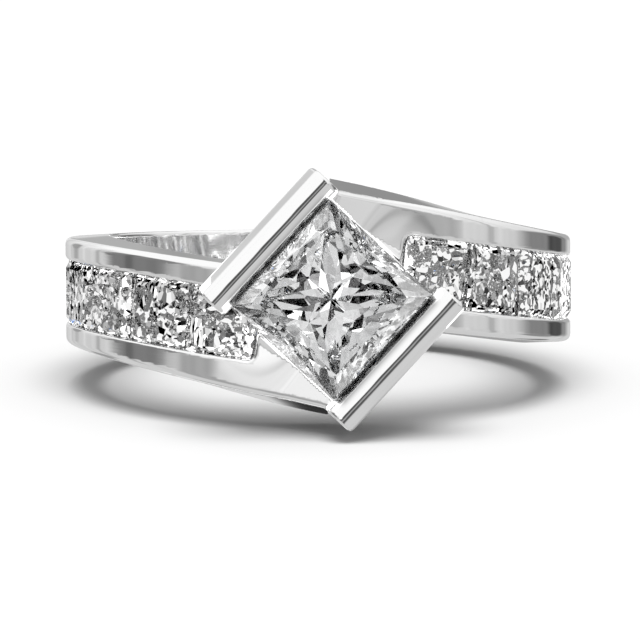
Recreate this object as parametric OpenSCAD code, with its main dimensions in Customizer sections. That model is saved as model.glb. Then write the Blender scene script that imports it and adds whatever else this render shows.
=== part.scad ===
/* [Band] */
// Inside diameter of the ring, where the finger goes
finger_d = 17; // [16:0.1:18.5]
// Thickness of the band from the finger to its outside
wall = 1.85; // [1.8:0.05:2.1]
// Width of the band along the finger, at its sides and back
side_w = 4.3; // [4.2:0.05:4.6]
// Extra width of the band at the finger, on each edge
flank_draft = 0.1; // [0:0.02:0.2]

/* [Shoulders] */
// Height of a shoulder's high edge at the middle of the front
high_edge = 4.15; // [4:0.05:4.3]
// Extra slope of that edge's flank at the front
front_draft = 0.3; // [0:0.05:0.4]
// Height to which a shoulder's low edge falls at the middle of the front
low_edge = 0.8; // [0.7:0.05:1]

/* [Centre stone] */
// Side of the square centre stone
stone_w = 5.4; // [5.2:0.05:5.5]
// Distance of its girdle from the finger's axis
stone_reach = 11.95; // [11.9:0.05:12.2]
// Slope of the sides that the bars hold, above the band's mid-plane
head_turn = 47; // [44:0.5:48]

/* [Setting bars] */
// Width of a bar beside the stone
bar_w = 1.06; // [0.95:0.02:1.2]
// How far a bar runs past the stone's corner
bar_over = 0.48; // [0.4:0.01:0.7]
// Height of a bar's top above the girdle
bar_rise = 0.9; // [0.8:0.05:1.1]
// Radius of a bar's long top edges
bar_round = 0.24; // [0.15:0.01:0.3]

/* [Side stones] */
// Stones in each shoulder
side_count = 5; // [3:1:5]
// Side of a square side stone
side_stone_w = 2.75; // [2.65:0.05:2.8]
// Opening between the two rails of a channel
channel_w = 2.54; // [2.4:0.02:2.54]
// Height of the row's centre line at the middle of the front
row_rise = 1.52; // [1.3:0.02:1.6]
// Angle from the front to the first stone's edge
row_start = 15.9; // [15.5:0.1:16.5]

/* [Fits] */
// Clearance between a stone and the metal
gap = 0.04; // [0.03:0.01:0.05]
// Space between one side stone and the next, on the front of the row
stone_gap = 0.09; // [0.08:0.01:0.12]

/* [Hidden] */
$fn = 96;
finger_r = finger_d / 2;
outer_r = finger_r + wall;
half_w = side_w / 2;
// Radius past which the flanks have no draft, just outside the band
crease_r = outer_r + 0.15;
// Slopes of the shoulders' two edges and of the row of stones, seen from the front
high_slope = (high_edge - half_w) / outer_r;
low_slope = (half_w - low_edge) / outer_r;
row_slope = atan(row_rise / outer_r);
// A princess cut as shares of its side: crown, girdle and pavilion
crown_share = 0.1;
girdle_share = 0.03;
centre_pavilion_share = 0.57;
side_pavilion_share = 0.5;
// Points of a cut along the middle of one side, as shares of half the side and of the crown or pavilion
TABLE_EDGE = 0.72;
CROWN_STAR = [0.87, 0.62];
CHEVRONS = [[0.72, 0.443], [0.38, 0.76]];
// The side stones' girdle, and the channel cut for them
side_girdle_r = outer_r - 0.35;
side_pitch = 2 * atan((side_stone_w + stone_gap) / 2 / side_girdle_r);
channel_floor_r = finger_r + 0.5;
channel_round = 0.3;
channel_end_gap = 0.08;
light_hole_d = 1.4;
row_first = row_start + side_pitch / 2;
row_last = row_first + (side_count - 1) * side_pitch;
// The head: the seat under the centre stone, and the bars beside it
stone_half = stone_w / 2;
bar_mid = stone_half + bar_w / 2;
bar_half_l = stone_half + bar_over;
bar_top = stone_reach + bar_rise;
bar_base = finger_r - 0.55;
bar_lip = 0.12;
bar_foot = 0.4;
bar_crest = 0.72;
bar_draft = 0.06;
bar_end_round = 0.15;
seat_top = stone_reach - 0.25;
seat_ledge = 0.07;
seat_hole_w = 3.2;
seat_hole_round = 0.4;
table_clear = outer_r + 0.25;
// A shoulder's plate climbs across the bars, from this foot beside the stone to the level under its edge
plate_top = stone_reach - 0.13;
plate_foot = 0.2;
plate_foot_out = outer_r - 0.14;
plate_fall = 0.16;
plate_rise = (plate_top - plate_foot_out) / (stone_half - plate_foot);
plate_run = 2 * stone_half + 1.6;
// The ring lies on the lower end of one bar and on its back's lower edge
tip_drop = bar_half_l * sin(head_turn) + (stone_half + bar_w - bar_round) * cos(head_turn);
rest_pitch = atan((tip_drop - half_w) / (bar_top - bar_round + outer_r));

// Height of the band's upper edge at a place x across the front
function bar_line_u(height, slope) =
    (height - bar_mid * cos(head_turn) + slope * bar_mid * sin(head_turn))
    / (sin(head_turn) + slope * cos(head_turn));
function bar_line_x(u) = u * cos(head_turn) - bar_mid * sin(head_turn);
function bar_line_z(u) = u * sin(head_turn) + bar_mid * cos(head_turn);
HIGH_U = bar_line_u(high_edge, high_slope);
LOW_U = bar_line_u(low_edge, low_slope);
function edge_height(x) =
    x > bar_line_x(HIGH_U) ? high_edge - high_slope * x
    : x > bar_line_x(LOW_U) ? bar_line_z(LOW_U) + (x - bar_line_x(LOW_U)) * tan(head_turn)
    : low_edge - low_slope * x;

// Height of the upper flank at a radius and an angle from the front; the lower flank is its half turn
function flank_top(r, phi) =
    (abs(phi) >= 90 ? half_w : edge_height((r + (outer_r - r) * pow(sin(phi), 2)) * sin(phi)))
    + (flank_draft + (phi > 0 && phi < 90 ? front_draft * pow(cos(phi), 6) : 0))
    * max(0, crease_r - r) / wall;

// One radial section of the band's envelope, from inside the finger hole to outside the head
ENVELOPE_R = [finger_r - 0.9, crease_r, bar_top];
ENVELOPE_CORNERS = [[0, -1], [1, -1], [2, -1], [2, 1], [1, 1], [0, 1]];
function envelope_section(phi) = [
    for (corner = ENVELOPE_CORNERS)
        let (r = ENVELOPE_R[corner[0]])
            [r * sin(phi), -r * cos(phi), corner[1] * flank_top(r, corner[1] * phi)]
];

ENVELOPE_ANGLES = concat([for (phi = [-90:3:90]) phi], [for (phi = [105:15:255]) phi]);

// Everything between the two flanks, all the way round
module envelope() {
    n = len(ENVELOPE_ANGLES);
    c = len(ENVELOPE_CORNERS);
    points = [
        for (angle = ENVELOPE_ANGLES)
            for (p = envelope_section(angle > 180 ? angle - 360 : angle)) p
    ];
    faces = [
        for (i = [0:n - 1])
            for (k = [0:c - 1])
                let (a = c * i, b = c * ((i + 1) % n), m = (k + 1) % c)
                    each [[a + k, b + m, b + k], [a + k, a + m, b + m]]
    ];
    polyhedron(points, faces, convexity = 4);
}

// A square outline with its corners rounded, between two corner points
module rounded_box_2d(low, high, r) {
    translate([low[0] + r, low[1]])
        square([high[0] - low[0] - 2 * r, high[1] - low[1]]);
    translate([low[0], low[1] + r])
        square([high[0] - low[0], high[1] - low[1] - 2 * r]);
    for (x = [low[0] + r, high[0] - r])
        for (y = [low[1] + r, high[1] - r])
            translate([x, y]) circle(r);
}

// The ring as it lies: its front raised by the lower end of one bar
module as_it_lies() {
    rotate([-rest_pitch, 0, 0]) children();
}

// The head's frame: x along the bars, y outwards from the finger, z across the bars
module in_head_frame() {
    rotate([0, -head_turn, 0])
        rotate([180, 0, 0]) children();
}

// An outline of the head seen from the front, carried from the finger's axis outwards
module head_plan(height) {
    in_head_frame()
        rotate([-90, 0, 0])
            linear_extrude(height = height) children();
}

// Both halves of the ring, the second turned half round the stone's axis
module both_halves() {
    for (turn = [0, 180])
        rotate([0, turn, 0]) children();
}

// The seat under the stone
module seat_block() {
    half = stone_half + seat_ledge;
    in_head_frame()
        translate([-half, 0, -bar_mid])
            cube([2 * half, seat_top, 2 * bar_mid]);
}

// The right shoulder's plate, which climbs from the band to the stone's upper corner
function plate_out(u, v) =
    plate_foot_out - plate_fall * (u - stone_half) + plate_rise * (v - plate_foot);
PLATE_CORNERS = [[0, bar_mid], [plate_run, bar_mid], [plate_run, -bar_mid], [0, -bar_mid]];
module shoulder_plate() {
    in_head_frame()
        intersection() {
            polyhedron(
                concat(
                    [for (c = PLATE_CORNERS) [c[0], finger_r - 2, -c[1]]],
                    [for (c = PLATE_CORNERS) [c[0], plate_out(c[0], c[1]), -c[1]]]
                ),
                [
                    [4, 5, 6, 7], [3, 2, 1, 0],
                    [5, 4, 0, 1], [6, 5, 1, 2], [7, 6, 2, 3], [4, 7, 3, 0],
                ]
            );
            translate([-1, 0, -2 * bar_mid])
                cube([plate_run + 2, plate_top, 4 * bar_mid]);
        }
}

// One bar: a drafted wall with a round top, and a lip over the stone's edge
module bar() {
    outer = stone_half + bar_w;
    top = bar_top - bar_round;
    intersection() {
        in_head_frame()
            rotate([0, 90, 0])
                linear_extrude(height = 2 * bar_half_l, center = true) {
                    polygon([
                        [stone_half - bar_foot, bar_base],
                        [outer + bar_draft, bar_base],
                        [outer, top],
                        [outer - bar_round, top],
                        [outer - bar_round, bar_top],
                        [outer - bar_crest + bar_round, bar_top],
                        [outer - bar_crest, top],
                        [stone_half - bar_lip, stone_reach],
                        [stone_half - bar_foot, stone_reach],
                    ]);
                    translate([outer - bar_round, top]) circle(bar_round);
                    translate([outer - bar_crest + bar_round, top]) circle(bar_round);
                }
        head_plan(bar_top + 1)
            rounded_box_2d([-bar_half_l, 0], [bar_half_l, outer + bar_draft], bar_end_round);
    }
}

// The channel of the right shoulder, open outwards and round past the side, grown by spare
module channel(spare = 0) {
    half = channel_w / 2 + spare;
    start = side_girdle_r * sin(row_first) - side_stone_w / 2 * cos(row_first)
        - channel_end_gap - spare;
    back = side_stone_w / 2 * sin(row_last) - side_girdle_r * cos(row_last)
        + channel_end_gap + spare;
    difference() {
        translate([0, back, row_rise])
            rotate([90, row_slope, 0])
                linear_extrude(height = bar_top + 1)
                    rounded_box_2d([start / cos(row_slope), -half], [outer_r + 2, half], channel_round);
        cylinder(r = channel_floor_r - spare, h = 4 * side_w, center = true);
    }
}

// A princess cut: table, crown with a star at each side, girdle, and a pavilion of chevrons
module princess_cut(w, pavilion_share) {
    a = w / 2;
    girdle = girdle_share * a;
    crown = crown_share * w;
    pavilion = pavilion_share * w;
    points = concat(
        [
            for (k = [0:3])
                for (p = [
                    [TABLE_EDGE * a, TABLE_EDGE * a, girdle + crown],
                    [a, a, girdle],
                    [a, a, -girdle],
                    [CROWN_STAR[0] * a, 0, girdle + CROWN_STAR[1] * crown],
                    [CHEVRONS[0][0] * a, 0, -girdle - CHEVRONS[0][1] * pavilion],
                    [CHEVRONS[1][0] * a, 0, -girdle - CHEVRONS[1][1] * pavilion],
                ])
                    quarter_turned(p, k)
        ],
        [[0, 0, -girdle - pavilion]]
    );
    faces = concat(
        [[18, 12, 6, 0]],
        [
            for (k = [0:3])
                let (
                    n = 6 * k,
                    m = 6 * ((k + 3) % 4),
                    star = n + 3,
                    chevron = n + 4,
                    point = n + 5,
                    culet = 24
                )
                    each [
                        [m, n, star],
                        [n, n + 1, star],
                        [m, star, m + 1],
                        [star, n + 1, m + 1],
                        [m + 1, n + 1, n + 2, m + 2],
                        [m + 2, n + 2, chevron],
                        [chevron, n + 2, point],
                        [m + 2, chevron, point],
                        [point, n + 2, culet],
                        [m + 2, point, culet],
                    ]
        ]
    );
    polyhedron(points, faces, convexity = 2);
}

// A point turned k quarters about the stone's axis
function quarter_turned(p, k) =
    let (c = [1, 0, -1, 0][k], s = [0, 1, 0, -1][k])
        [c * p[0] - s * p[1], s * p[0] + c * p[1], p[2]];

// The centre stone, or with spare more than 0 the space that it takes in the metal
module placed_center(spare) {
    translate([0, -stone_reach, 0])
        rotate([90, 0, 0])
            rotate([0, 0, head_turn])
                princess_cut(stone_w + 2 * spare, centre_pavilion_share);
}

// Puts a thing made on the z axis where side stone i of the right shoulder is, z pointing outwards
module at_side_stone(i, reach) {
    phi = row_first + (i - 1) * side_pitch;
    x = side_girdle_r * sin(phi);
    roll = atan(tan(row_slope) * cos(phi));
    translate([reach * sin(phi), -reach * cos(phi), row_rise - x * tan(row_slope)])
        rotate([90, 0, phi])
            rotate([0, 0, -roll]) children();
}

// Side stone i of the right shoulder, or the space that it takes
module placed_side(i, spare) {
    at_side_stone(i, side_girdle_r)
        princess_cut(side_stone_w + 2 * spare, side_pavilion_share);
}

// The whole metal: shank, shoulders and bars in one piece
module ring_band() {
    color("gainsboro")
        as_it_lies()
            difference() {
                difference() {
                    union() {
                        difference() {
                            intersection() {
                                union() {
                                    cylinder(r = outer_r, h = 2 * bar_top, center = true);
                                    seat_block();
                                    both_halves() shoulder_plate();
                                }
                                envelope();
                            }
                            both_halves() channel();
                        }
                        difference() {
                            both_halves() bar();
                            both_halves()
                                intersection() {
                                    channel(gap);
                                    cylinder(r = table_clear, h = 4 * side_w, center = true);
                                }
                        }
                    }
                    cylinder(r = finger_r, h = 3 * bar_top, center = true);
                    head_plan(bar_top)
                        rounded_box_2d(-[1, 1] * seat_hole_w / 2, [1, 1] * seat_hole_w / 2, seat_hole_round);
                    placed_center(gap);
                    side_seats(1);
                }
                side_seats(2);
            }
}

// The spaces of every second side stone, from the first one named, each with its light hole
module side_seats(first) {
    both_halves()
        for (i = [first:2:side_count]) {
            placed_side(i, gap);
            at_side_stone(i, finger_r - 1)
                cylinder(d = light_hole_d, h = side_girdle_r - finger_r + 0.5);
        }
}

// The princess cut centre stone
module center_stone() {
    color("aliceblue")
        as_it_lies() placed_center(0);
}

// Stone i of the right shoulder, counted from the front
module side_stone_right(i) {
    color("azure")
        as_it_lies() placed_side(i, 0);
}

// Stone i of the left shoulder, the same row turned half round
module side_stone_left(i) {
    color("azure")
        as_it_lies() rotate([0, 180, 0]) placed_side(i, 0);
}

ring_band();
center_stone();
for (i = [1:side_count]) {
    side_stone_left(i);
    side_stone_right(i);
}
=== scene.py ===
import logging
import math
from dataclasses import dataclass
from enum import Enum

import bmesh
import bpy
import numpy as np
from mathutils import Matrix, Vector


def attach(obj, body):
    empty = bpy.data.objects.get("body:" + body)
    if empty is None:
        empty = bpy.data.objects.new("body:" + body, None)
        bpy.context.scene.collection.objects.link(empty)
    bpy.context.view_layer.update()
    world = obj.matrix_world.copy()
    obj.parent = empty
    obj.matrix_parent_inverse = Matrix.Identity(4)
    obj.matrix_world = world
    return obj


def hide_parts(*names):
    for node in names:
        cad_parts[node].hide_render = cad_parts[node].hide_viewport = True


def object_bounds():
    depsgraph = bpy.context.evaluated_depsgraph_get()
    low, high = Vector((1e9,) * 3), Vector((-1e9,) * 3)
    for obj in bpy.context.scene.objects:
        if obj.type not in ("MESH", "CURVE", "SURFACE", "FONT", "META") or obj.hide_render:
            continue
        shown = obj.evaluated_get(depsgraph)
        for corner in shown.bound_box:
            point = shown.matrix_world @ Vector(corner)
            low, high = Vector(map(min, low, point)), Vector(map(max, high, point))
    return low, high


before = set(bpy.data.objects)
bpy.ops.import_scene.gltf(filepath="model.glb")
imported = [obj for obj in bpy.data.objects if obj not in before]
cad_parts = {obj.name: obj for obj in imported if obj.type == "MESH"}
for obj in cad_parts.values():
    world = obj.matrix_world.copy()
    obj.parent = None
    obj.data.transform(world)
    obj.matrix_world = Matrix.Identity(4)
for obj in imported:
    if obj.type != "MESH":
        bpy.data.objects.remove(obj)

CAD_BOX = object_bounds()
MM = 0.001
LOG = logging.getLogger("ring")


class Shoulder(Enum):
    """The two shoulders. The left one is the right one turned half round the stone's axis."""

    RIGHT = 1
    LEFT = -1


@dataclass(frozen=True)
class RingSizes:
    """Driving sizes of the ring in millimetres and degrees, as the solids have them."""

    finger_r: float = 8.5
    outer_r: float = 10.35
    half_w: float = 2.15
    flank_draft: float = 0.1
    front_draft: float = 0.3
    high_edge: float = 4.15
    low_edge: float = 0.8
    stone_w: float = 5.4
    stone_reach: float = 11.95
    head_turn: float = 47.0
    bar_w: float = 1.06
    bar_over: float = 0.48
    bar_rise: float = 0.9
    bar_round: float = 0.24
    side_count: int = 5
    side_stone_w: float = 2.75
    stone_gap: float = 0.09
    channel_w: float = 2.54
    row_rise: float = 1.52
    row_start: float = 15.9

    @property
    def wall(self) -> float:
        """Thickness of the band."""
        return self.outer_r - self.finger_r

    @property
    def stone_half(self) -> float:
        """Half the side of the centre stone."""
        return self.stone_w / 2

    @property
    def bar_top(self) -> float:
        """Distance of the bars' tops from the finger's axis."""
        return self.stone_reach + self.bar_rise

    @property
    def bar_mid(self) -> float:
        """Distance of a bar's middle from the stone's axis."""
        return self.stone_half + self.bar_w / 2

    @property
    def bar_half_l(self) -> float:
        """Half the length of a bar."""
        return self.stone_half + self.bar_over

    @property
    def side_girdle_r(self) -> float:
        """Radius at which the side stones' girdles lie."""
        return self.outer_r - 0.35

    @property
    def side_pitch(self) -> float:
        """Angle from one side stone to the next, in radians."""
        return 2 * math.atan((self.side_stone_w + self.stone_gap) / 2 / self.side_girdle_r)

    @property
    def row_first(self) -> float:
        """Angle of the first side stone from the front, in radians."""
        return math.radians(self.row_start) + self.side_pitch / 2

    @property
    def row_last(self) -> float:
        """Angle of the last side stone from the front, in radians."""
        return self.row_first + (self.side_count - 1) * self.side_pitch

    @property
    def row_slope(self) -> float:
        """Slope of a row of side stones as seen from the front, in radians."""
        return math.atan(self.row_rise / self.outer_r)

    @property
    def rest_pitch(self) -> float:
        """Angle by which the frame raises the front, as if the bar's top corner and the back rim carried the ring.

        Returns:
            The angle in radians.
        """
        turn = math.radians(self.head_turn)
        drop = self.bar_half_l * math.sin(turn)
        drop += (self.stone_half + self.bar_w - self.bar_round) * math.cos(turn)
        return math.atan((drop - self.half_w) / (self.bar_top - self.bar_round + self.outer_r))


SIZES = RingSizes()
Places = tuple[np.ndarray, np.ndarray, np.ndarray]


def as_it_lies(points: np.ndarray) -> np.ndarray:
    """Turns points from the ring's own frame into the frame in which it lies.

    Args:
        points: An array of points, one a row, in any unit.

    Returns:
        The turned points.
    """
    c, s = math.cos(SIZES.rest_pitch), math.sin(SIZES.rest_pitch)
    return points @ np.array([[1, 0, 0], [0, c, s], [0, -s, c]]).T


def new_object(name: str, data: bpy.types.ID) -> bpy.types.Object:
    """Links a new object.

    Args:
        name: The object's name.
        data: Its mesh, camera or light.

    Returns:
        The object, at the origin.
    """
    piece = bpy.data.objects.new(name, data)
    bpy.context.scene.collection.objects.link(piece)
    return piece


def keep_piece(piece: bpy.types.Object, slot: str, *nodes: str) -> None:
    """Declares a finished piece to the frame and reports it.

    Args:
        piece: The finished piece.
        slot: Not used.
        nodes: The solids that it stands for.
    """
    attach(piece, "root")
    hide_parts(*nodes)
    LOG.info("%s: %d faces for %s", piece.name, len(piece.data.polygons), ", ".join(nodes))


def round_join(a: np.ndarray, b: np.ndarray, r: float) -> np.ndarray:
    """Joins two forms given as distances, with a fillet in the corner between them.

    Args:
        a: Distances to the first form.
        b: Distances to the second form.
        r: The fillet's radius.

    Returns:
        Distances to both together.
    """
    u, v = np.maximum(r - a, 0), np.maximum(r - b, 0)
    return np.maximum(r, np.minimum(a, b)) - np.sqrt(u * u + v * v)


def round_common(a: np.ndarray, b: np.ndarray, r: float) -> np.ndarray:
    """Keeps what two forms share, with the edge between them rounded.

    Args:
        a: Distances to the first form.
        b: Distances to the second form.
        r: The edge's radius.

    Returns:
        Distances to the shared form.
    """
    u, v = np.maximum(r + a, 0), np.maximum(r + b, 0)
    return np.minimum(-r, np.maximum(a, b)) + np.sqrt(u * u + v * v)


@dataclass(frozen=True)
class MetalForm:
    """The shank, shoulders, seat and bars as one field of distances in the ring's own frame.

    The factors named even bring the distances to a slanted form back to about their true length.
    """

    size: RingSizes = SIZES
    edge_round: float = 0.26
    bore_round: float = 0.14
    rim_round: float = 0.16
    flank_start: float = 0.15
    flank_even: float = 0.97
    plate_blend: float = 0.45
    plate_drop: float = 0.12
    plate_foot: float = 0.2
    plate_sink: float = 0.14
    plate_fall: float = 0.16
    plate_run: float = 5.6
    plate_round: float = 0.3
    plate_depth: float = 2.0
    seat_round: float = 0.06
    seat_drop: float = 0.22
    seat_ledge: float = 0.06
    seat_edge: float = 0.05
    seat_hole: float = 1.6
    seat_hole_round: float = 0.4
    bar_blend: float = 0.09
    bar_slope: float = 16.0
    bar_ridge_in: float = 0.5
    ridge_half: float = 0.12
    ridge_r: float = 1.2
    bar_edge: float = 0.13
    bar_lip_in: float = 0.12
    bar_fall: float = 0.87
    bar_arc: float = 32.5
    bar_crease: float = 0.02
    bar_inner_round: float = 0.03
    bar_inset: float = 0.4
    bar_end_round: float = 0.15
    bar_foot: float = 9.0
    bar_shave: float = 0.01
    bar_draft: float = 0.15
    draft_start: float = 0.14
    draft_depth: float = 1.2
    floor_r: float = 9.0
    channel_end: float = 0.08
    channel_round: float = 0.3
    channel_over: float = 0.25
    groove_slope: float = 0.8
    groove_spare: float = 0.03
    groove_even: float = 0.78
    groove_inset: float = 0.02
    groove_half: float = 0.2
    light_hole_r: float = 0.7
    cone_start: float = 8.8
    cone_slope: float = 0.7
    cone_even: float = 0.82
    hole_over: float = 0.2
    stone_spare: float = 0.04
    stone_over: float = 0.08
    stone_drop: float = 0.1
    lip_slope: float = 0.3
    lip_even: float = 0.95

    def edge_height(self, x: np.ndarray) -> np.ndarray:
        """Gives the height of the upper edge across the front.

        Args:
            x: Places across the front.

        Returns:
            The heights there.
        """
        s, turn = self.size, math.radians(self.size.head_turn)
        sin, cos = math.sin(turn), math.cos(turn)
        high = (s.high_edge - s.half_w) / s.outer_r
        low = (s.half_w - s.low_edge) / s.outer_r

        def crossing(height: float, slope: float) -> float:
            """Place along the bar's middle line where an edge line meets it."""
            return (height - s.bar_mid * cos + slope * s.bar_mid * sin) / (sin + slope * cos)

        high_u, low_u = crossing(s.high_edge, high), crossing(s.low_edge, low)
        high_x = high_u * cos - s.bar_mid * sin
        low_x = low_u * cos - s.bar_mid * sin
        low_z = low_u * sin + s.bar_mid * cos
        between = low_z + (x - low_x) * math.tan(turn)
        inner = np.where(x > low_x, between, s.low_edge - low * x)
        return np.where(x > high_x, s.high_edge - high * x, inner)

    def flank(self, at: Places) -> np.ndarray:
        """Gives distances above the upper flank.

        Args:
            at: Places across, towards the back and upwards.

        Returns:
            Signed distances, negative in the metal.
        """
        s, (x, y, z) = self.size, at
        r = np.maximum(np.hypot(x, y), 1e-6)
        sin, front = x / r, y < 0
        reach = (r + (s.outer_r - r) * sin * sin) * sin
        top = np.where(front, self.edge_height(reach), s.half_w)
        lean = np.where(front & (x > 0), s.front_draft * (1 - sin * sin) ** 3, 0) + s.flank_draft
        top = top + lean * np.maximum(0, s.outer_r + self.flank_start - r) / s.wall
        return (z - top) * self.flank_even

    def plate(self, at: Places) -> np.ndarray:
        """Gives distances to the block under the stone and the two plates that climb to its corners.

        Args:
            at: Places along the bars, across them and outwards.

        Returns:
            Signed distances.
        """
        s, (u, v, out) = self.size, at
        block = round_common(
            out - s.stone_reach + self.seat_drop, np.abs(u) - s.stone_half - self.seat_ledge, self.seat_round
        )
        block = np.maximum(block, np.abs(v) - s.bar_mid)
        turn = math.radians(s.head_turn)
        top = s.stone_reach - self.plate_drop
        foot_out = s.outer_r - self.plate_sink
        rise = (top - foot_out) / (s.stone_half - self.plate_foot)
        length = math.sqrt(1 + rise * rise + self.plate_fall * self.plate_fall)
        for side in Shoulder:
            along, across = u * side.value, v * side.value
            slope = foot_out - self.plate_fall * (along - s.stone_half) + rise * (across - self.plate_foot)
            ramp = round_common((out - slope) / length, out - top, self.plate_round)
            sideways = along * math.cos(turn) - across * math.sin(turn)
            near = np.maximum(np.maximum(across - s.bar_mid, -along), sideways - self.plate_run)
            block = np.minimum(block, np.maximum(ramp, near))
        return np.maximum(block, s.finger_r - self.plate_depth - out)

    def bars(self, at: Places) -> np.ndarray:
        """Gives distances to the two bars beside the stone.

        Args:
            at: Places along the bars, across them and outwards.

        Returns:
            Signed distances.
        """
        s, (u, v, out) = self.size, at
        w = np.abs(v)
        outer, slope = s.stone_half + s.bar_w, math.radians(self.bar_slope)
        ridge = outer - self.bar_ridge_in
        # a flat slope outwards, a narrow ridge, and a curved side that falls to the stone's edge
        outside = (out - s.bar_top) * math.cos(slope) + (w - ridge - self.ridge_half) * math.sin(slope)
        top = np.hypot(w - ridge, out - s.bar_top + self.ridge_r) - self.ridge_r
        lip, level = s.stone_half - self.bar_lip_in, s.bar_top - self.bar_fall
        run = ridge - self.ridge_half - lip
        side_r = math.hypot(run, self.bar_fall) / (2 * math.sin(math.radians(self.bar_arc)))
        lean = math.atan2(self.bar_fall, run) - math.radians(90 - self.bar_arc)
        side_at = lip + side_r * math.cos(lean)
        inner = np.hypot(w - side_at, np.maximum(out - level + side_r * math.sin(lean), 0)) - side_r
        depth = np.clip(s.bar_top - self.draft_start - out, 0, self.draft_depth)
        flank = w - outer + self.bar_shave - self.bar_draft * depth
        profile = round_common(flank, outside, self.bar_edge)
        for face, r in (
            (top, self.bar_crease),
            (inner, self.bar_inner_round),
            (s.stone_half - self.bar_inset - w, self.bar_crease),
            (np.abs(u) - s.bar_half_l, self.bar_end_round),
        ):
            profile = round_common(profile, face, r)
        return np.maximum(profile, self.bar_foot - out)

    def channel(self, at: Places) -> np.ndarray:
        """Gives distances to the right shoulder's channel with its grooves for the stones' edges.

        Args:
            at: Places across, towards the back and upwards.

        Returns:
            Signed distances, negative in the hollow.
        """
        s, (x, y, z) = self.size, at
        half, girdle_r = s.side_stone_w / 2, s.side_girdle_r
        start = girdle_r * math.sin(s.row_first) - half * math.cos(s.row_first) - self.channel_end
        back = half * math.sin(s.row_last) - girdle_r * math.cos(s.row_last) + self.channel_end
        c, t = math.cos(s.row_slope), math.sin(s.row_slope)
        ahead = start / c
        along = x * c - (z - s.row_rise) * t
        across = np.abs(x * t + (z - s.row_rise) * c)
        r = np.hypot(x, y)
        off = np.abs(r - girdle_r)
        hollow = round_common(ahead - along, across - s.channel_w / 2, self.channel_round)
        hollow = round_common(hollow, y - back, self.channel_round)
        hollow = np.maximum(hollow, self.floor_r - r)
        groove = (across + self.groove_slope * off - half - self.groove_spare) * self.groove_even
        groove = np.maximum(groove, ahead - self.groove_inset - along)
        groove = np.maximum(groove, y - back + self.groove_inset)
        return np.minimum(hollow, np.maximum(groove, off - self.groove_half))

    def light_holes(self, at: Places) -> np.ndarray:
        """Gives distances to the holes under the right shoulder's stones.

        Args:
            at: Places across, towards the back and upwards.

        Returns:
            Signed distances, negative in the holes.
        """
        s, (x, y, z) = self.size, at
        r, phi = np.hypot(x, y), np.arctan2(x, -y)
        step = np.clip(np.round((phi - s.row_first) / s.side_pitch), 0, s.side_count - 1)
        near = s.row_first + step * s.side_pitch
        height = s.row_rise - s.side_girdle_r * np.sin(near) * math.tan(s.row_slope)
        rho = np.hypot(r * np.sin(phi - near), z - height)
        hole = (rho - self.light_hole_r - np.maximum(0, r - self.cone_start) * self.cone_slope) * self.cone_even
        # the holes stop short of the bore's middle, so that none comes out at the back
        hole = np.maximum(hole, s.finger_r / 2 - r * np.cos(phi - near))
        return np.maximum(hole, r - self.floor_r - self.hole_over)

    def stone_hollow(self, at: Places) -> np.ndarray:
        """Gives distances to the hollow for the centre stone and the open seat under it.

        Args:
            at: Places along the bars, across them and outwards.

        Returns:
            Signed distances, negative in the hollow.
        """
        s, (u, v, out) = self.size, at
        half = np.maximum(np.abs(u), np.abs(v))
        depth = s.stone_reach + self.stone_over + self.stone_spare - out
        a, deep = s.stone_half + self.stone_spare, PrincessCut.pavilion_share * s.stone_w
        hollow = half - a
        for (w0, d0), (w1, d1) in zip(PrincessCut.profile()[:-1], PrincessCut.profile()[1:]):
            run, fall = (w0 - w1) * a, (d1 - d0) * deep
            side = (half - w0 * a) * fall + (depth - d0 * deep - self.stone_drop) * run
            hollow = np.maximum(hollow, side / math.hypot(run, fall))
        # over the girdle the hollow leans in under the bars' lips
        lip = (half - a) * self.lip_slope + (out - s.stone_reach - self.stone_over - self.stone_spare)
        hollow = np.maximum(hollow, lip * self.lip_even)
        square = round_common(np.abs(u) - self.seat_hole, np.abs(v) - self.seat_hole, self.seat_hole_round)
        # the seat's hole also stops short of the bore's middle
        return np.minimum(hollow, np.maximum(square, np.maximum(out - s.stone_reach, s.finger_r / 2 - out)))

    def distance(self, p: np.ndarray) -> np.ndarray:
        """Gives the whole metal's distances.

        Args:
            p: Points in the ring's own frame, one a row.

        Returns:
            Signed distances, negative in the metal.
        """
        s, turn = self.size, math.radians(self.size.head_turn)
        x, y, z = p[:, 0], p[:, 1], p[:, 2]
        u = x * math.cos(turn) + z * math.sin(turn)
        v = -x * math.sin(turn) + z * math.cos(turn)
        head, r = (u, v, -y), np.hypot(x, y)
        body = round_join(r - s.outer_r, self.plate(head), self.plate_blend)
        body = round_common(body, self.flank((x, y, z)), self.edge_round)
        body = round_common(body, self.flank((-x, y, -z)), self.edge_round)
        bars = self.bars(head)
        for side in Shoulder:
            at = (x * side.value, y, z * side.value)
            channel = self.channel(at)
            body = round_common(body, -channel, self.rim_round)
            body = np.maximum(body, -self.light_holes(at))
            bars = np.maximum(bars, -np.maximum(channel, r - s.outer_r - self.channel_over))
        body = round_join(body, bars, self.bar_blend)
        body = round_common(body, -self.stone_hollow(head), self.seat_edge)
        return round_common(body, s.finger_r - r, self.bore_round)

    def normals(self, p: np.ndarray) -> np.ndarray:
        """Gives the outward directions of the form.

        Args:
            p: Points on or near the surface.

        Returns:
            Gradients of the distance, not brought to length one.
        """
        step, grads = 0.004, []
        for axis in range(3):
            d = np.zeros(3)
            d[axis] = step
            grads.append((self.distance(p + d) - self.distance(p - d)) / (2 * step))
        return np.stack(grads, axis=1)


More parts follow.
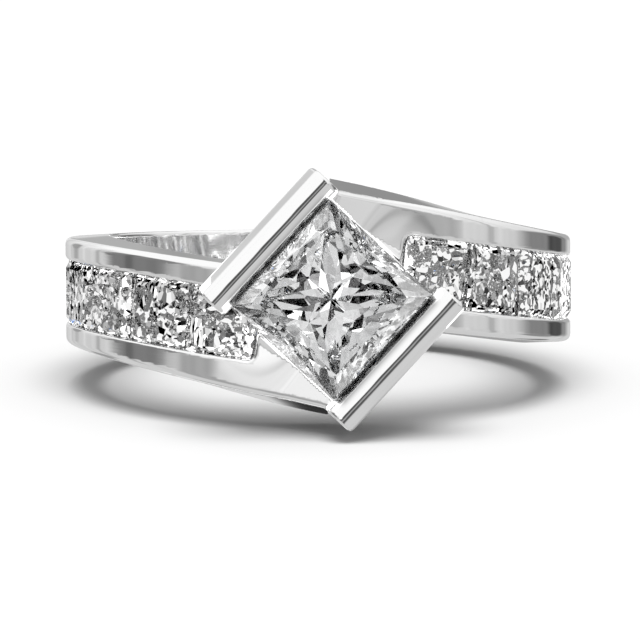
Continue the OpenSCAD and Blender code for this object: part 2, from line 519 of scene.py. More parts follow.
@dataclass
class NetMesher:
    """Turns a field of distances into a mesh of quads: one point in each cell that the surface crosses."""

    low: tuple[float, float, float]
    high: tuple[float, float, float]
    cell: float

    def axes(self) -> list[np.ndarray]:
        """Gives the grid's places along each axis."""
        return [np.arange(a, b + self.cell, self.cell) for a, b in zip(self.low, self.high)]

    def sample(self, form: MetalForm) -> np.ndarray:
        """Measures the field on the whole grid, a slab at a time.

        Args:
            form: The form to measure.

        Returns:
            Distances as a three-dimensional array.
        """
        xs, ys, zs = self.axes()
        yy, zz = (grid.ravel() for grid in np.meshgrid(ys, zs, indexing="ij"))
        slabs = []
        for x in xs:
            points = np.stack([np.full(yy.size, x), yy, zz], axis=1)
            slabs.append(form.distance(points).reshape(len(ys), len(zs)).astype(np.float32))
        return np.stack(slabs)

    def mesh(self, form: MetalForm) -> tuple[np.ndarray, np.ndarray]:
        """Builds the surface.

        Args:
            form: The form to mesh.

        Returns:
            Points and quads.
        """
        d = self.sample(form)
        inside = d < 0
        shape = tuple(n - 1 for n in d.shape)
        total, count = np.zeros(shape + (3,), np.float32), np.zeros(shape, np.float32)
        for axis in range(3):
            a = np.take(d, range(d.shape[axis] - 1), axis)
            b = np.take(d, range(1, d.shape[axis]), axis)
            cross = (a < 0) != (b < 0)
            t = np.where(cross, a / np.where(cross, a - b, 1), 0)
            others = [k for k in range(3) if k != axis]
            for i in (0, 1):
                for j in (0, 1):
                    cut = [slice(None)] * 3
                    cut[others[0]] = slice(i, i + shape[others[0]])
                    cut[others[1]] = slice(j, j + shape[others[1]])
                    hit, at = cross[tuple(cut)], t[tuple(cut)]
                    count += hit
                    total[..., axis] += np.where(hit, at, 0)
                    total[..., others[0]] += hit * i
                    total[..., others[1]] += hit * j
        used = count > 0
        index = np.full(shape, -1, np.int64)
        index[used] = np.arange(used.sum())
        cells = np.argwhere(used)
        points = (cells + total[used] / count[used][:, None]) * self.cell + np.array(self.low)
        quads = []
        for axis in range(3):
            others = [k for k in range(3) if k != axis]
            a = np.take(inside, range(d.shape[axis] - 1), axis)
            b = np.take(inside, range(1, d.shape[axis]), axis)
            for into in (True, False):
                edge = (a & ~b) if into else (b & ~a)
                at = np.argwhere(edge)
                ring = []
                for i, j in ((0, 0), (1, 0), (1, 1), (0, 1)):
                    k = at.copy()
                    k[:, others[0]] -= 1 - i
                    k[:, others[1]] -= 1 - j
                    ring.append(index[tuple(k.T)])
                ring = np.stack(ring, axis=1)
                flip = into != (axis != 1)
                quads.append(ring[:, ::-1] if flip else ring)
        return points, np.vstack(quads)


@dataclass
class Metal:
    """The whole metal: shank, shoulders with their channels, seat and bars, cast in one."""

    form: MetalForm = MetalForm()
    cell: float = 0.095
    triangles: int = 170000
    margin: float = 0.2
    tall: float = 5.6
    least_slope: float = 0.5
    longest_step: float = 0.05

    def build(self, finish: "PolishedGold") -> bpy.types.Object:
        """Meshes the form, thins the mesh where it is flat and sets it down where it lies.

        Args:
            finish: The metal's finish.

        Returns:
            The finished piece.
        """
        s = self.form.size
        reach = s.outer_r + self.margin
        cell = self.cell * 1
        low, high = (-reach, -s.bar_top - self.margin, -self.tall), (reach, reach, self.tall)
        points, quads = NetMesher(low, high, cell).mesh(self.form)
        points = self.settle(points, 3)
        mesh = bpy.data.meshes.new("ring_metal")
        mesh.from_pydata(points.tolist(), [], quads.tolist())
        piece = new_object("ring_metal", mesh)
        if 2 * len(quads) > self.triangles:
            thin = piece.modifiers.new("thin", "DECIMATE")
            thin.ratio = self.triangles / (2 * len(quads))
            graph = bpy.context.evaluated_depsgraph_get()
            piece.data = bpy.data.meshes.new_from_object(piece.evaluated_get(graph))
            piece.modifiers.clear()
        mesh = piece.data
        mesh.name = "ring_metal"
        points = np.empty(3 * len(mesh.vertices))
        mesh.vertices.foreach_get("co", points)
        points = self.settle(points.reshape(-1, 3), 2)
        normals = self.form.normals(points)
        normals /= np.linalg.norm(normals, axis=1)[:, None]
        mesh.vertices.foreach_set("co", (as_it_lies(points) * MM).ravel())
        mesh.polygons.foreach_set("use_smooth", np.ones(len(mesh.polygons), bool))
        mesh.update()
        mesh.normals_split_custom_set_from_vertices(as_it_lies(normals).tolist())
        mesh.materials.append(finish.material())
        keep_piece(piece, "polished_metal", "ring_band")
        return piece

    def settle(self, points: np.ndarray, rounds: int) -> np.ndarray:
        """Moves points onto the surface.

        Args:
            points: Points near it.
            rounds: How many steps to take.

        Returns:
            The moved points.
        """
        for _ in range(rounds):
            grads = self.form.normals(points)
            square = np.maximum((grads * grads).sum(axis=1), self.least_slope**2)
            step = (self.form.distance(points) / square)[:, None] * grads
            points = points - np.clip(step, -self.longest_step, self.longest_step)
        return points


@dataclass(frozen=True)
class PrincessCut:
    """A square stone: table, crown, girdle, and a pavilion of chevrons with a kite along each corner."""

    width: float
    crown_share: float = 0.1
    girdle_share: float = 0.015
    pavilion_share: float = 0.57
    table_edge: float = 0.72
    crown_at: float = 0.87
    crown_rise: float = 0.62
    kite_at: float = 0.4
    kite_half: float = 0.12
    splits: tuple[float, ...] = ()
    split_shift: float = 0.04
    split_bulge: float = 0.035

    @staticmethod
    def profile() -> list[tuple[float, float]]:
        """Gives the pavilion's outline along the middle of a side, as shares of half the side and of the depth."""
        return [(1.0, 0.0), (0.9, 0.18), (0.76, 0.37), (0.6, 0.55), (0.43, 0.715), (0.24, 0.865), (0.0, 1.0)]

    def points(self) -> list[Vector]:
        """Gives every corner of the stone.

        Returns:
            The corners, in millimetres about the middle of the girdle.
        """
        a = self.width / 2
        girdle, crown = self.girdle_share * self.width, self.crown_share * self.width
        deep = self.pavilion_share * self.width
        corner, culet = Vector((a, a, -girdle)), Vector((0, 0, -girdle - deep))
        steps = [Vector((w * a, 0, -girdle - d * deep)) for w, d in self.profile()[1:-1]]
        one = [
            Vector((self.table_edge * a, self.table_edge * a, girdle + crown)),
            Vector((a, a, girdle)),
            corner,
            Vector((self.crown_at * a, 0, girdle + self.crown_rise * crown)),
            *steps,
        ]
        # points that stand out a little part each chevron
        for k, step in enumerate(steps):
            for share in self.splits:
                for hand in (-1, 1):
                    point = step.lerp(Vector((a, hand * a, -girdle)), share + self.split_shift * (k % 2))
                    one.append(point + Vector((0.7, 0, -0.7)) * a * self.split_bulge * (1 - share))
        side = Vector((-1, 1, 0)).normalized() * self.kite_half * a
        middle = culet.lerp(corner, self.kite_at)
        one += [middle + side, middle - side]
        quarters = [Matrix.Rotation(math.pi / 2 * k, 3, "Z") for k in range(4)]
        return [turn @ p for turn in quarters for p in one] + [culet]

    def mesh(self, name: str) -> bpy.types.Mesh:
        """Builds the stone with one flat face for each facet.

        Args:
            name: The mesh's name.

        Returns:
            A mesh in metres about the middle of the girdle, its table up.
        """
        bm = bmesh.new()
        for p in self.points():
            bm.verts.new(p)
        bmesh.ops.convex_hull(bm, input=bm.verts[:])
        loose = [v for v in bm.verts if not v.link_faces]
        bmesh.ops.delete(bm, geom=loose, context="VERTS")
        bmesh.ops.dissolve_limit(bm, angle_limit=math.radians(0.2), verts=bm.verts[:], edges=bm.edges[:])
        bmesh.ops.recalc_face_normals(bm, faces=bm.faces[:])
        bmesh.ops.scale(bm, vec=(MM, MM, MM), verts=bm.verts[:])
        mesh = bpy.data.meshes.new(name)
        bm.to_mesh(mesh)
        bm.free()
        return mesh


@dataclass
class CentreStone:
    """The princess cut stone between the bars."""

    size: RingSizes = SIZES

    def build(self, finish: "ClearDiamond") -> bpy.types.Object:
        """Cuts the stone and sets it between the bars.

        Args:
            finish: The stone's finish.

        Returns:
            The finished piece.
        """
        s = self.size
        mesh = PrincessCut(s.stone_w).mesh("centre_stone_facets")
        place = Matrix.Rotation(-s.rest_pitch, 4, "X") @ Matrix.Translation((0, -s.stone_reach * MM, 0))
        turn = Matrix.Rotation(math.pi / 2, 4, "X") @ Matrix.Rotation(math.radians(s.head_turn), 4, "Z")
        mesh.transform(place @ turn)
        mesh.materials.append(finish.material())
        piece = new_object("princess_stone", mesh)
        keep_piece(piece, "clear_stone", "center_stone")
        return piece


@dataclass
class StoneRow:
    """One shoulder's row of square stones, laid along its channel by a node tree."""

    shoulder: Shoulder
    size: RingSizes = SIZES

    INPUTS = (
        ("Count", "NodeSocketInt"),
        ("First", "NodeSocketFloat"),
        ("Pitch", "NodeSocketFloat"),
        ("Radius", "NodeSocketFloat"),
        ("Rise", "NodeSocketFloat"),
        ("Slope", "NodeSocketFloat"),
        ("Material", "NodeSocketMaterial"),
    )

    def tree(self) -> bpy.types.GeometryNodeTree:
        """Builds the node tree that repeats its own stone along the channel.

        Returns:
            The tree, with a named input for each of its sizes.
        """
        tree = bpy.data.node_groups.new("stone_row_" + self.shoulder.name.lower(), "GeometryNodeTree")
        face, desk = tree.interface, NodeDesk(tree)
        for way in ("INPUT", "OUTPUT"):
            face.new_socket("Geometry", in_out=way, socket_type="NodeSocketGeometry")
        for name, kind in self.INPUTS:
            face.new_socket(name, in_out="INPUT", socket_type=kind)
        given = desk.add("NodeGroupInput").outputs
        index = desk.add("GeometryNodeInputIndex").outputs[0]
        phi = desk.maths("ADD", given["First"], desk.maths("MULTIPLY", index, given["Pitch"]))
        sin, cos = desk.maths("SINE", phi), desk.maths("COSINE", phi)
        tan = desk.maths("TANGENT", given["Slope"])
        x = desk.maths("MULTIPLY", given["Radius"], sin)
        y = desk.maths("MULTIPLY", desk.maths("MULTIPLY", given["Radius"], cos), -1.0)
        z = desk.maths("SUBTRACT", given["Rise"], desk.maths("MULTIPLY", x, tan))
        roll = desk.maths("ARCTANGENT", desk.maths("MULTIPLY", tan, cos))
        place = desk.add("ShaderNodeCombineXYZ", X=x, Y=y, Z=z).outputs[0]
        angles = desk.add("ShaderNodeCombineXYZ", X=math.pi / 2, Y=roll, Z=phi).outputs[0]
        row = desk.add("GeometryNodePoints", Count=given["Count"], Position=place).outputs[0]
        turn = desk.add("FunctionNodeEulerToRotation", Euler=angles).outputs[0]
        lay = desk.add("GeometryNodeInstanceOnPoints", Points=row, Instance=given["Geometry"], Rotation=turn)
        real = desk.add("GeometryNodeRealizeInstances", Geometry=lay.outputs[0]).outputs[0]
        dress = desk.add("GeometryNodeSetMaterial", Geometry=real, Material=given["Material"])
        tree.links.new(dress.outputs[0], desk.add("NodeGroupOutput").inputs[0])
        return tree

    def build(self, finish: "ClearDiamond") -> list[bpy.types.Object]:
        """Lays the row and makes a piece of each stone.

        Args:
            finish: The stones' finish.

        Returns:
            The finished pieces, the one nearest the front first.
        """
        s = self.size
        cut = PrincessCut(s.side_stone_w, pavilion_share=0.5, splits=(0.22, 0.5)).mesh("side_stone_facets")
        row = new_object("stone_row", cut)
        laid = row.modifiers.new("row", "NODES")
        laid.node_group = self.tree()
        values = {
            "Count": s.side_count,
            "First": s.row_first,
            "Pitch": s.side_pitch,
            "Radius": s.side_girdle_r * MM,
            "Rise": s.row_rise * MM,
            "Slope": s.row_slope,
            "Material": finish.material(),
        }
        for socket in laid.node_group.interface.items_tree:
            if socket.in_out == "INPUT" and socket.name in values:
                laid[socket.identifier] = values[socket.name]
        graph = bpy.context.evaluated_depsgraph_get()
        whole = bpy.data.meshes.new_from_object(row.evaluated_get(graph))
        bpy.data.objects.remove(row)
        place = Matrix.Rotation(-s.rest_pitch, 4, "X")
        if self.shoulder is Shoulder.LEFT:
            place = place @ Matrix.Rotation(math.pi, 4, "Y")
        whole.transform(place)
        pieces = []
        each = len(cut.vertices)
        for i in range(s.side_count):
            bm = bmesh.new()
            bm.from_mesh(whole)
            bm.verts.ensure_lookup_table()
            others = [v for v in bm.verts if not i * each <= v.index < (i + 1) * each]
            bmesh.ops.delete(bm, geom=others, context="VERTS")
            side = self.shoulder.name.lower()
            mesh = bpy.data.meshes.new(f"{side}_stone_facets_{i + 1}")
            bm.to_mesh(mesh)
            bm.free()
            mesh.materials.append(finish.material())
            piece = new_object(f"{side}_stone_{i + 1}", mesh)
            keep_piece(piece, "clear_stone", f"side_stone_{side}_{i + 1}")
            pieces.append(piece)
        return pieces


@dataclass(frozen=True)
class NodeDesk:
    """Short ways to write a shader's node tree."""

    tree: bpy.types.NodeTree

    def add(self, kind: str, **inputs: object) -> bpy.types.Node:
        """Adds a node and fills its inputs.

        Args:
            kind: The node's type.
            inputs: A value or a socket for each input, by its name with _ for a space.

        Returns:
            The node.
        """
        node = self.tree.nodes.new(kind)
        for name, value in inputs.items():
            self.feed(node.inputs[name.replace("_", " ")], value)
        return node

    def feed(self, socket: bpy.types.NodeSocket, value: object) -> None:
        """Links a socket to another or sets its value.

        Args:
            socket: The input.
            value: A socket or a constant.
        """
        if isinstance(value, bpy.types.NodeSocket):
            self.tree.links.new(value, socket)
        else:
            socket.default_value = value

    def maths(self, op: str, *values: object, clamp: bool = False) -> bpy.types.NodeSocket:
        """Adds a Math node.

        Args:
            op: The operation.
            values: Its operands, sockets or numbers.
            clamp: Whether to keep the result between 0 and 1.

        Returns:
            The result's socket.
        """
        node = self.tree.nodes.new("ShaderNodeMath")
        node.operation, node.use_clamp = op, clamp
        for socket, value in zip(node.inputs, values):
            self.feed(socket, value)
        return node.outputs[0]

    def ramp(self, value: object, stops: list[tuple[float, float]], smooth: bool = True) -> bpy.types.NodeSocket:
        """Maps a value through a ramp of greys.

        Args:
            value: The socket to map.
            stops: Places and greys, in order.
            smooth: Whether the ramp eases between its stops.

        Returns:
            The grey's socket.
        """
        node = self.tree.nodes.new("ShaderNodeValToRGB")
        node.color_ramp.interpolation = "EASE" if smooth else "CONSTANT"
        points = node.color_ramp.elements
        while len(points) < len(stops):
            points.new(0.5)
        for element, (place, grey) in zip(points, stops):
            element.position = place
            element.color = (grey, grey, grey, 1)
        self.feed(node.inputs[0], value)
        return node.outputs[0]

    def vectors(self, op: str, *values: object) -> bpy.types.NodeSocket:
        """Adds a Vector Math node.

        Args:
            op: The operation.
            values: Its operands, sockets or vectors.

        Returns:
            The result's socket.
        """
        node = self.tree.nodes.new("ShaderNodeVectorMath")
        node.operation = op
        for socket, value in zip(node.inputs, values):
            self.feed(socket, value)
        return node.outputs["Value" if op == "DOT_PRODUCT" else "Vector"]

    def span(
        self, value: object, low: float, high: float, fall: bool = False, smooth: bool = True
    ) -> bpy.types.NodeSocket:
        """Maps a span of values to 0 to 1.

        Args:
            value: The socket to map.
            low: The value at which the result starts to change.
            high: The value at which it is all changed.
            fall: Whether the result falls from 1 to 0 instead.
            smooth: Whether it eases at both ends.

        Returns:
            The result's socket.
        """
        ends = {"To_Min": 1.0, "To_Max": 0.0} if fall else {}
        node = self.add("ShaderNodeMapRange", Value=value, From_Min=low, From_Max=high, **ends)
        node.interpolation_type = "SMOOTHSTEP" if smooth else "LINEAR"
        return node.outputs[0]

    def from_head(self, place: bpy.types.NodeSocket) -> list[bpy.types.NodeSocket]:
        """Gives how far a place is from the head's middle along the bars, across them and outwards.

        Args:
            place: Object coordinates.

        Returns:
            Three sockets, in millimetres and never negative.
        """
        turn = math.radians(SIZES.head_turn)
        c, s = math.cos(turn), math.sin(turn)
        axes = as_it_lies(np.array([[c, 0, s], [-s, 0, c], [0, -1, 0]]))
        return [self.maths("ABSOLUTE", self.vectors("DOT_PRODUCT", place, Vector(axis / MM))) for axis in axes]

    def blend(self, share: object, a: object, b: object, mode: str = "MIX") -> bpy.types.NodeSocket:
        """Mixes two colours.

        Args:
            share: How much of the second.
            a: The first colour.
            b: The second colour.
            mode: How the second meets the first.

        Returns:
            The mixed colour's socket.
        """
        node = self.tree.nodes.new("ShaderNodeMix")
        node.data_type, node.blend_type = "RGBA", mode
        for socket, value in ((0, share), (6, a), (7, b)):
            self.feed(node.inputs[socket], value)
        return node.outputs[2]


def new_material(name: str, **inputs: object) -> tuple[bpy.types.Material, bpy.types.Node]:
    """Makes a material with one Principled shader.

    Args:
        name: The material's name.
        inputs: A constant for each input of the shader, by its name with _ for a space.

    Returns:
        The material and its shader.
    """
    material = bpy.data.materials.new(name)
    material.use_nodes = True
    shader = material.node_tree.nodes["Principled BSDF"]
    for socket, value in inputs.items():
        shader.inputs[socket.replace("_", " ")].default_value = value
    return material, shader


@dataclass(frozen=True)
class PolishedGold:
    """White gold with a mirror polish: a faint haze, hair-fine scratches, and painted shade beside the centre stone.
    """

    colour: tuple[float, float, float, float] = (0.86, 0.86, 0.86, 1)
    roughness: float = 0.06
    haze: float = 0.04
    scratches: float = 0.015
    # painted shade: the near black that the metal's colour turns to beside the centre stone, and the ranges along,
    # across and outwards over which it fades in
    painted_shade: tuple[float, float, float, float] = (0.015, 0.015, 0.015, 1)
    painted_shade_from: tuple[float, float, float] = (2.8, 2.64, 11.9)
    painted_shade_to: tuple[float, float, float] = (2.4, 3.08, 11.98)

    def groove(self, desk: "NodeDesk", place: bpy.types.NodeSocket) -> bpy.types.NodeSocket:
        """Gives the share of painted shade in the grooves beside the centre stone.

        Args:
            desk: The material's nodes.
            place: Object coordinates.

        Returns:
            The share's socket, 1 where the bars meet the stone.
        """
        spans = zip(desk.from_head(place), self.painted_shade_from, self.painted_shade_to)
        along, across, out = (desk.span(far, low, high) for far, low, high in spans)
        # the painted shade shows only where the metal is seen directly: any ray that has bounced meets plain metal
        met = desk.add("ShaderNodeLightPath").outputs["Ray Depth"]
        across = desk.maths("SUBTRACT", 1.0, desk.maths("ADD", across, met), clamp=True)
        return desk.maths("MULTIPLY", desk.maths("MULTIPLY", along, out), across)

    def material(self) -> bpy.types.Material:
        """Gives the finish's material.

        Returns:
            The material.
        """
        material, shader = new_material("polished_white_gold", Metallic=1)
        desk = NodeDesk(material.node_tree)
        place = desk.add("ShaderNodeTexCoord").outputs["Object"]
        # painted shade: the base colour darkens to near black where the bars meet the centre stone
        desk.feed(shader.inputs["Base Color"], desk.blend(self.groove(desk, place), self.colour, self.painted_shade))
        haze = desk.add("ShaderNodeTexNoise", Vector=place, Scale=420.0, Detail=3.0).outputs[0]
        hairs = desk.add("ShaderNodeMapping", Vector=place, Scale=(900.0, 900.0, 9000.0)).outputs[0]
        hair = desk.add("ShaderNodeTexNoise", Vector=hairs, Scale=1.0, Detail=2.0).outputs[0]
        rough = desk.maths("MULTIPLY_ADD", haze, self.haze, self.roughness - 0.03)
        rough = desk.maths("MULTIPLY_ADD", hair, self.scratches, rough)
        desk.feed(shader.inputs["Roughness"], rough)
        bump = desk.add("ShaderNodeBump", Strength=0.02, Distance=0.00002, Height=hair)
        desk.feed(shader.inputs["Normal"], bump.outputs[0])
        return material


@dataclass(frozen=True)
class ClearDiamond:
    """A clear, nearly white diamond, part of whose small reflections are drawn as flecks that mirror the surround, and
    some of whose flecks are darkened in colour as painted dark reflections.
    """

    colour: tuple[float, float, float, float] = (0.99, 0.995, 1, 1)
    index: float = 2.418
    glitter: float = 0.0
    patch: float = 0.7
    stretch: tuple[float, float] = (0.35, 1.6)
    share: float = 0.56
    share_least: float = 0.4
    share_range: float = 1.2
    tilt: float = 0.45
    # painted dark reflections: the greys that darken the flecks' colour
    greys: tuple[tuple[float, float], ...] = ((0.0, 0.05), (0.05, 0.4), (0.1, 0.99))

    def material(self) -> bpy.types.Material:
        """Gives the finish's material, made once.

        Returns:
            The material, plain where there is no glitter.
        """
        name = f"clear_diamond_{round(self.glitter * 100)}"
        if name in bpy.data.materials:
            return bpy.data.materials[name]
        material, shader = new_material(
            name, Base_Color=self.colour, Transmission_Weight=1, Roughness=0, IOR=self.index
        )
        if not self.glitter:
            return material
        desk = NodeDesk(material.node_tree)
        place = desk.add("ShaderNodeTexCoord").outputs["Object"]
        # each patch stretches its flecks its own way
        patch = desk.add("ShaderNodeTexVoronoi", Vector=place, Scale=1000 / self.patch).outputs["Color"]
        least, more = self.stretch
        stretch = desk.vectors("MULTIPLY_ADD", patch, (more,) * 3, (least,) * 3)
        drawn = desk.vectors("MULTIPLY", place, stretch)
        cells = desk.add("ShaderNodeTexVoronoi", Vector=drawn, Scale=1000 / self.glitter).outputs["Color"]
        cell = desk.add("ShaderNodeSeparateColor", Color=cells).outputs
        # painted dark reflections: some flecks' colour is darkened to near black or grey
        desk.feed(shader.inputs["Base Color"], desk.ramp(cell[2], self.greys, smooth=False))
        much = desk.add("ShaderNodeSeparateColor", Color=patch).outputs[1]
        much = desk.maths("MULTIPLY_ADD", much, self.share_range * self.share, self.share_least * self.share)
        desk.feed(shader.inputs["Metallic"], desk.maths("LESS_THAN", cell[1], much))
        lean = desk.vectors("MULTIPLY_ADD", cells, (self.tilt,) * 3, (-self.tilt / 2,) * 3)
        normal = desk.add("ShaderNodeNewGeometry").outputs["Normal"]
        desk.feed(shader.inputs["Normal"], desk.vectors("NORMALIZE", desk.vectors("ADD", normal, lean)))
        return material


@dataclass(frozen=True)
class PaleFloor:
    """The matt white of the floor."""

    colour: tuple[float, float, float, float] = (0.92, 0.92, 0.92, 1)

    def material(self) -> bpy.types.Material:
        """Gives the finish's material."""
        return new_material("pale_floor", Base_Color=self.colour, Roughness=1, Specular_IOR_Level=0)[0]


@dataclass(frozen=True)
class Panel:
    """A soft-edged oval panel of the surround, placed in degrees: 0 round is the front, rising to the right."""

    around: float
    above: float
    half_w: float
    half_h: float
    grey: float


def as_light(grey: float, finish: PolishedGold = PolishedGold()) -> float:
    """Gives the light that a panel sends so that the metal shows it as a given grey.

    Args:
        grey: The grey as shown, from 0 to 255.
        finish: The metal that reflects it.

    Returns:
        The light.
    """
    return ((grey / 255 + 0.055) / 1.055) ** 2.4 / finish.colour[0]


@dataclass
class Studio:
    """The floor, the soft light all round and the camera."""

    PANELS = (
        Panel(-88, 11, 25, 15, 128),
        Panel(-96, 0, 20, 6, 122),
        Panel(-145, 2, 6, 10, 158),
        Panel(-147, -31, 24, 4, 152),
        Panel(-58, -8, 10, 16, 165),
        Panel(-145, -52, 15, 6, 248),
        Panel(-106, -57, 8, 4, 140),
        Panel(-178, -31, 7, 7, 45),
        Panel(178, -31, 7, 7, 90),
        Panel(128, -2, 26, 15, 132),
        Panel(114, -17, 14, 8, 140),
        Panel(134, -5, 9, 8, 78),
        Panel(151, -38, 10, 6, 110),
        Panel(163, 2, 12, 8, 172),
        Panel(50, 0, 15, 7, 176),
        Panel(176, -19, 5, 10, 145),
        Panel(48, 20, 16, 7, 253),
        Panel(170, 12, 9, 9, 140),
        Panel(179, 3, 6, 5, 174),
        Panel(-179, 4, 6, 5, 174),
    )
    LEFT_GREYS = [(-90, 200), (-10, 206), (5, 218), (20, 238), (32, 252)]
    RIGHT_GREYS = [(-90, 200), (-5, 206), (12, 228), (40, 240), (47, 253)]
    FRONT_GREYS = [
        (-0.9, 252), (-0.2, 252), (-0.13, 90), (-0.04, 75), (0.07, 165), (0.18, 75), (0.3, 90), (0.42, 205), (0.9, 206)
    ]
    FRONT_HALF = 44
    STREAKS = [(0.3, 0.45), (0.45, 0.9), (0.6, 1.0), (0.75, 1.25)]
    STREAK_HEIGHTS = [(-34, 0.0), (-22, 0.8), (24, 0.8), (36, 0.0)]
    STONE_GREYS = [(0.0, 0.0), (0.14, 0.2), (0.28, 0.46), (0.46, 0.72), (0.7, 0.95), (0.92, 2.2)]
    STONE_GAP = Panel(2.6, 3.5, 9, 9, 5)
    DOME_GREYS = [(0.45, 0.03), (0.6, 0.12), (0.8, 0.45), (1.0, 0.95)]

    distance: float = 130.0
    elevation: float = 9.2
    yaw: float = 2.6
    scale: float = 24.3
    centre: tuple[float, float] = (318.0, 288.0)
    frame_px: int = 640
    floor_half: float = 1.5
    lamp_angle: float = 42.0
    lamp_lean: float = 14.0
    lamp_energy: float = 1.85
    backdrop: float = 1.05
    hole_light: float = 2.2
    hole_share: float = 0.93
    bounce_light: float = 0.1

    def floor(self, finish: PaleFloor) -> bpy.types.Object:
        """Lays the floor at the solids' lowest point.

        Args:
            finish: The floor's finish.

        Returns:
            The floor.
        """
        low, half = CAD_BOX[0][2], self.floor_half
        mesh = bpy.data.meshes.new("floor")
        corners = [(-half, -half, low), (half, -half, low), (half, half, low), (-half, half, low)]
        mesh.from_pydata(corners, [], [(0, 1, 2, 3)])
        mesh.materials.append(finish.material())
        floor = new_object("floor", mesh)
        floor.visible_glossy = floor.visible_transmission = False
        return floor

    def camera(self) -> None:
        """Puts the camera at the photograph's angle."""
        e, w = math.radians(self.elevation), math.radians(self.yaw)
        towards = Vector((-math.sin(w) * math.cos(e), -math.cos(w) * math.cos(e), math.sin(e)))
        right = (-towards).cross(Vector((0, 0, 1))).normalized()
        up = right.cross(-towards)
        half = self.frame_px / 2
        target = right * ((half - self.centre[0]) / self.scale) + up * ((self.centre[1] - half) / self.scale)
        data = bpy.data.cameras.new("camera")
        data.sensor_width = 36
        data.lens = self.scale * self.distance / self.frame_px * data.sensor_width
        data.clip_start, data.clip_end = 0.005, 10
        camera = new_object("camera", data)
        turn = Matrix((right, up, towards)).transposed().to_4x4()
        camera.matrix_world = Matrix.Translation((target + towards * self.distance) * MM) @ turn
        bpy.context.scene.camera = camera

    def lamp(self) -> None:
        """Hangs a broad light over the ring, a little to the front, which draws its shadow on the floor."""
        data = bpy.data.lights.new("overhead", "SUN")
        data.angle = math.radians(self.lamp_angle)
        data.energy = self.lamp_energy
        lamp = new_object("overhead", data)
        lamp.rotation_euler = (math.radians(self.lamp_lean), 0, 0)
        lamp.visible_glossy = lamp.visible_transmission = lamp.visible_camera = False

    @staticmethod
    def heights(stops: list[tuple[float, float]]) -> list[tuple[float, float]]:
        """Gives ramp stops for greys placed by degrees above the horizon."""
        return [(angle / 180 + 0.5, grey) for angle, grey in stops]

    @staticmethod
    def greys(stops: list[tuple[float, float]]) -> list[tuple[float, float]]:
        """Gives ramp stops for greys as shown, placed by degrees above the horizon."""
        return [(angle / 180 + 0.5, as_light(grey)) for angle, grey in stops]

    @staticmethod
    def hang(desk: NodeDesk, seen: object, turn: object, up: object, panel: Panel) -> bpy.types.NodeSocket:
        """Hangs one soft-edged panel in a surround.

        Args:
            desk: The world's nodes.
            seen: The surround's light so far.
            turn: Degrees round the ring.
            up: Degrees above the horizon.
            panel: The panel.

        Returns:
            The surround's light with the panel in it.
        """
        across = desk.maths("MULTIPLY_ADD", turn, 1 / panel.half_w, -panel.around / panel.half_w)
        along = desk.maths("MULTIPLY_ADD", up, 1 / panel.half_h, -panel.above / panel.half_h)
        far = desk.maths("MULTIPLY_ADD", across, across, desk.maths("MULTIPLY", along, along))
        light = as_light(panel.grey)
        return desk.blend(desk.span(far, 0.5, 1.6, fall=True), seen, (light, light, light, 1))

    def metal_surround(self, desk: NodeDesk, turn: object, up: object, aside: object) -> bpy.types.NodeSocket:
        """Builds what the metal reflects: white overhead, pale greys round about and darker panels at the sides.

        Args:
            desk: The world's nodes.
            turn: Degrees round the ring.
            up: Degrees above the horizon.
            aside: How far a direction leans down and to the right.

        Returns:
            The light.
        """
        height = desk.maths("MULTIPLY_ADD", up, 1 / 180, 0.5)
        left = desk.ramp(height, self.greys(self.LEFT_GREYS))
        right = desk.ramp(height, self.greys(self.RIGHT_GREYS))
        seen = desk.blend(desk.span(turn, -6.0, 6.0, smooth=False), left, right)
        for panel in self.PANELS:
            seen = self.hang(desk, seen, turn, up, panel)
        # narrow streaks, upright, over the low part of the surround
        strip = desk.add("ShaderNodeCombineXYZ", X=desk.maths("MULTIPLY", turn, 0.13)).outputs[0]
        streak = desk.add("ShaderNodeTexNoise", Vector=strip, Scale=1.0, Detail=1.5)
        streak = desk.ramp(streak.outputs[0], self.STREAKS)
        low = desk.ramp(height, self.heights(self.STREAK_HEIGHTS))
        seen = desk.blend(low, seen, streak, mode="MULTIPLY")
        # in front, white to the upper left and grey to the lower right, with dark gaps between
        front = desk.ramp(
            desk.maths("MULTIPLY_ADD", aside, 0.25, 0.5),
            [(0.5 + lean * 0.3536, as_light(grey)) for lean, grey in self.FRONT_GREYS],
        )
        level = desk.maths("MULTIPLY", up, 1 / self.FRONT_HALF)
        ahead = desk.maths("MULTIPLY", desk.maths("ABSOLUTE", turn), 1 / self.FRONT_HALF)
        ahead = desk.maths("MULTIPLY_ADD", ahead, ahead, desk.maths("MULTIPLY", level, level))
        return desk.blend(desk.span(ahead, 0.75, 1.2, fall=True, smooth=False), seen, front)

    def stone_surround(self, desk: NodeDesk, look: object, turn: object, up: object) -> bpy.types.NodeSocket:
        """Builds what the stones see: small panels of light with dark gaps between them, and a few blue ones.

        Args:
            desk: The world's nodes.
            look: The direction seen.
            turn: Degrees round the ring.
            up: Degrees above the horizon.

        Returns:
            The light.
        """
        cells = desk.add("ShaderNodeTexVoronoi", Vector=look, Scale=3.0, Randomness=1.0)
        grey, hue, _ = desk.add("ShaderNodeSeparateColor", Color=cells.outputs["Color"]).outputs
        seen = desk.ramp(grey, self.STONE_GREYS, smooth=False)
        seen = desk.blend(desk.maths("GREATER_THAN", hue, 0.98), seen, (0.12, 0.35, 0.9, 1))
        return self.hang(desk, seen, turn, up, self.STONE_GAP)

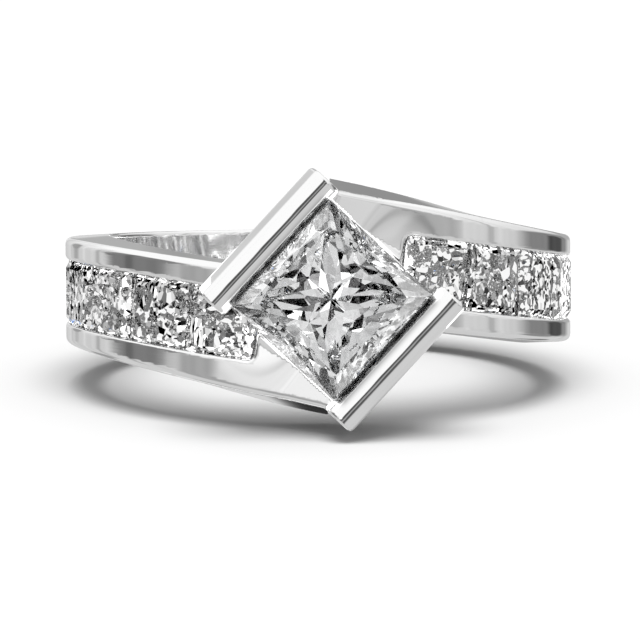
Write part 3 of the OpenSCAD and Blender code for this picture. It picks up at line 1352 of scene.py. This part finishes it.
    def light(self) -> None:
        """Lights the scene from a white surround, with grey and dark panels that only reflections see."""
        world = bpy.data.worlds.new("studio")
        world.use_nodes = True
        bpy.context.scene.world = world
        world.node_tree.nodes.clear()
        desk = NodeDesk(world.node_tree)
        look = desk.add("ShaderNodeTexCoord").outputs["Generated"]
        x, y, z = desk.add("ShaderNodeSeparateXYZ", Vector=look).outputs
        path = desk.add("ShaderNodeLightPath").outputs
        up = desk.maths("MULTIPLY", desk.maths("ARCSINE", z), 180 / math.pi)
        turn = desk.maths("ARCTAN2", x, desk.maths("MULTIPLY", y, -1.0))
        turn = desk.maths("MULTIPLY", turn, 180 / math.pi)
        metal_sees = self.metal_surround(desk, turn, up, desk.maths("SUBTRACT", x, z))
        stone_sees = self.stone_surround(desk, look, turn, up)
        # light that has met the metal twice or more comes out pale, as in the finger hole
        again = desk.maths("GREATER_THAN", path["Glossy Depth"], 1.5)
        again = desk.maths("MULTIPLY", again, self.hole_share)
        metal_sees = desk.blend(again, metal_sees, (self.hole_light,) * 3 + (1,))
        clear = desk.maths("GREATER_THAN", path["Transmission Depth"], 0.5)
        clear = desk.maths("MAXIMUM", clear, path["Is Singular Ray"])
        seen = desk.blend(clear, metal_sees, stone_sees)
        # the ring throws little light back on the floor
        below = desk.maths("GREATER_THAN", path["Diffuse Depth"], 0.5)
        seen = desk.blend(below, seen, (self.bounce_light,) * 3 + (1,))
        # the floor's light leans in from the front
        overhead = desk.maths("MULTIPLY_ADD", z, 0.96, desk.maths("MULTIPLY", y, -0.28))
        soft = desk.ramp(desk.maths("MULTIPLY_ADD", overhead, 0.5, 0.5), self.DOME_GREYS)
        seen = desk.blend(path["Is Diffuse Ray"], seen, soft)
        seen = desk.blend(path["Is Camera Ray"], seen, (self.backdrop,) * 3 + (1,))
        back = desk.add("ShaderNodeBackground", Color=seen, Strength=1.0)
        desk.add("ShaderNodeOutputWorld", Surface=back.outputs[0])

    def settle(self) -> None:
        """Sets how colours are shown and how often light may bounce in the stones."""
        scene = bpy.context.scene
        scene.view_settings.view_transform = "Standard"
        scene.view_settings.look = "None"
        scene.cycles.max_bounces = 20
        scene.cycles.glossy_bounces = scene.cycles.transmission_bounces = 14


def main() -> None:
    """Builds the ring piece by piece, dresses it and sets up the studio."""
    logging.basicConfig(level=logging.INFO, format="%(message)s")
    gold = PolishedGold()
    Metal().build(gold)
    CentreStone().build(ClearDiamond())
    for shoulder in Shoulder:
        StoneRow(shoulder).build(ClearDiamond(glitter=0.2))
    studio = Studio()
    studio.floor(PaleFloor())
    studio.light()
    studio.lamp()
    studio.camera()
    studio.settle()


if __name__ == "__main__":
    main()
